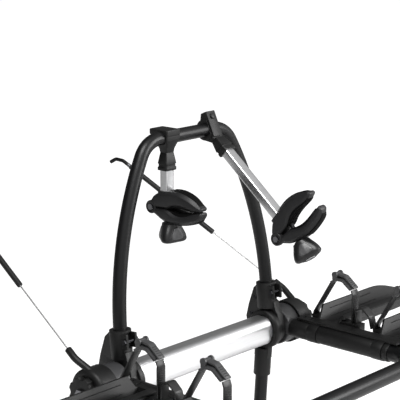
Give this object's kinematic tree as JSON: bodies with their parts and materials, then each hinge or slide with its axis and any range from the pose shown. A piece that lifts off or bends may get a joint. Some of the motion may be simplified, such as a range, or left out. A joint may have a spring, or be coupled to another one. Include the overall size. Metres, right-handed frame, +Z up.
{
  "type": "trunk mounted bike rack",
  "caption": "Platform bike rack held on a car's tailgate: folding wheel trays with ratchet straps, a bent hoop and swinging arms with screw-closed jaws.",
  "frame": {"origin": "midway between the contact faces of the two rubber feet, where the rack bears on the tailgate", "axes": "+X to the car's right, +Y forward into the tailgate, +Z up"},
  "size_m": [1.104, 0.8254, 0.7249],
  "materials": {
    "brushed_silver": "brushed, clear anodised",
    "zinc_steel": "zinc plated",
    "steel_cable": "bright stranded wire",
    "black_coat": "black satin powder coat",
    "black_nylon": "moulded black nylon",
    "grey_nylon": "moulded dark grey nylon",
    "strap_plastic": "flexible ladder strap",
    "sleeve_rubber": "smooth black sleeve",
    "panel_plastic": "grey inset panels",
    "rubber": "black rubber"
  },
  "bodies": {
    "platform": {"cross_tube": "brushed_silver", "hub_axles": "zinc_steel", "hub_drums": "grey_nylon", "platform_loop": "black_coat", "beam_sleeves": "black_nylon", "winder_housing_l": "black_nylon", "cable_wire_l": "steel_cable", "cable_sleeve_l": "sleeve_rubber", "cable_crimp_l": "zinc_steel", "cable_hook_l": "black_coat", "winder_housing_r": "black_nylon", "cable_wire_r": "steel_cable", "cable_sleeve_r": "sleeve_rubber", "cable_crimp_r": "zinc_steel", "cable_hook_r": "black_coat"},
    "hoop": {"hoop_tube": "black_coat", "hoop_bracket_l": "black_nylon", "hoop_bracket_r": "black_nylon", "hoop_bolts": "zinc_steel"},
    "lower_frame": {"lower_tube": "black_coat", "lower_socket_l": "black_nylon", "lower_socket_r": "black_nylon", "rubber_feet": "rubber"},
    "tray_l": {"wheel_tray_l": "black_nylon", "tyre_straps_l": "strap_plastic", "ratchet_buckles_l": "black_nylon"},
    "lever_1_l": {"ratchet_lever_1_l": "grey_nylon"},
    "lever_2_l": {"ratchet_lever_2_l": "grey_nylon"},
    "winder_l": {"cable_reel_l": "grey_nylon", "winder_knob_l": "black_nylon"},
    "tray_r": {"wheel_tray_r": "black_nylon", "tyre_straps_r": "strap_plastic", "ratchet_buckles_r": "black_nylon"},
    "lever_1_r": {"ratchet_lever_1_r": "grey_nylon"},
    "lever_2_r": {"ratchet_lever_2_r": "grey_nylon"},
    "winder_r": {"cable_reel_r": "grey_nylon", "winder_knob_r": "black_nylon"},
    "short_arm": {"short_arm_clamp": "black_nylon", "short_arm_collar": "black_nylon", "short_arm_tube": "brushed_silver", "short_upper_jaw": "grey_nylon", "short_upper_liner": "rubber", "short_hinge_pin": "zinc_steel"},
    "short_jaw": {"short_lower_jaw": "grey_nylon", "short_lower_liner": "rubber", "short_draw_screw": "zinc_steel"},
    "short_knob": {"short_knob": "grey_nylon", "short_knob_trim": "panel_plastic"},
    "long_arm": {"long_arm_clamp": "black_nylon", "long_arm_collar": "black_nylon", "long_arm_tube": "brushed_silver", "long_upper_jaw": "grey_nylon", "long_upper_liner": "rubber", "long_hinge_pin": "zinc_steel", "long_arm_cap": "black_nylon"},
    "long_jaw": {"long_lower_jaw": "grey_nylon", "long_lower_liner": "rubber", "long_draw_screw": "zinc_steel"},
    "long_knob": {"long_knob": "grey_nylon", "long_knob_trim": "panel_plastic"}
  },
  "joints": [
    {"name": "hoop_tilt", "type": "hinge", "parent": "platform", "child": "hoop", "pos_m": [0, -0.05, 0.25], "axis": [1, 0, 0], "range_deg": [-25, 15]},
    {"name": "lower_frame_swing", "type": "hinge", "parent": "platform", "child": "lower_frame", "pos_m": [0, -0.05, 0.25], "axis": [1, 0, 0], "range_deg": [-80, 15]},
    {"name": "tray_fold_l", "type": "hinge", "parent": "platform", "child": "tray_l", "pos_m": [-0.235, -0.05, 0.251], "axis": [0, 1, 0], "range_deg": [0, 90]},
    {"name": "lever_lift_1_l", "type": "hinge", "parent": "tray_l", "child": "lever_1_l", "pos_m": [-0.276, -0.166, 0.3675], "axis": [-1, 0, 0], "range_deg": [0, 75]},
    {"name": "lever_lift_2_l", "type": "hinge", "parent": "tray_l", "child": "lever_2_l", "pos_m": [-0.276, -0.313, 0.3675], "axis": [-1, 0, 0], "range_deg": [0, 75]},
    {"name": "winder_turn_l", "type": "hinge", "parent": "platform", "child": "winder_l", "pos_m": [-0.28, -0.05, 0.25], "axis": [1, 0, 0], "continuous": true},
    {"name": "tray_fold_r", "type": "hinge", "parent": "platform", "child": "tray_r", "pos_m": [0.235, -0.05, 0.251], "axis": [0, -1, 0], "range_deg": [0, 90]},
    {"name": "lever_lift_1_r", "type": "hinge", "parent": "tray_r", "child": "lever_1_r", "pos_m": [0.276, -0.166, 0.3675], "axis": [-1, 0, 0], "range_deg": [0, 75]},
    {"name": "lever_lift_2_r", "type": "hinge", "parent": "tray_r", "child": "lever_2_r", "pos_m": [0.276, -0.313, 0.3675], "axis": [-1, 0, 0], "range_deg": [0, 75]},
    {"name": "winder_turn_r", "type": "hinge", "parent": "platform", "child": "winder_r", "pos_m": [0.28, -0.05, 0.25], "axis": [1, 0, 0], "continuous": true},
    {"name": "short_arm_swing", "type": "hinge", "parent": "hoop", "child": "short_arm", "pos_m": [-0.052, -0.01506, 0.66694], "axis": [1, 0, 0], "range_deg": [-100, 5]},
    {"name": "short_jaw_open", "type": "hinge", "parent": "short_arm", "child": "short_jaw", "pos_m": [-0.052, 0.01094, 0.53594], "axis": [1, 0, 0], "range_deg": [0, 40]},
    {"name": "short_knob_turn", "type": "hinge", "parent": "short_jaw", "child": "short_knob", "pos_m": [-0.052, -0.02406, 0.48794], "axis": [0, 0, -1], "continuous": true},
    {"name": "long_arm_swing", "type": "hinge", "parent": "hoop", "child": "long_arm", "pos_m": [0.064, -0.01506, 0.66694], "axis": [1, 0, 0], "range_deg": [-60, 50]},
    {"name": "long_jaw_open", "type": "hinge", "parent": "long_arm", "child": "long_jaw", "pos_m": [0.064, -0.19297, 0.48658], "axis": [1, 0, 0], "range_deg": [-12, 28]},
    {"name": "long_knob_turn", "type": "hinge", "parent": "long_jaw", "child": "long_knob", "pos_m": [0.064, -0.25024, 0.47081], "axis": [0, -0.6225, -0.7826], "continuous": true}
  ]
}
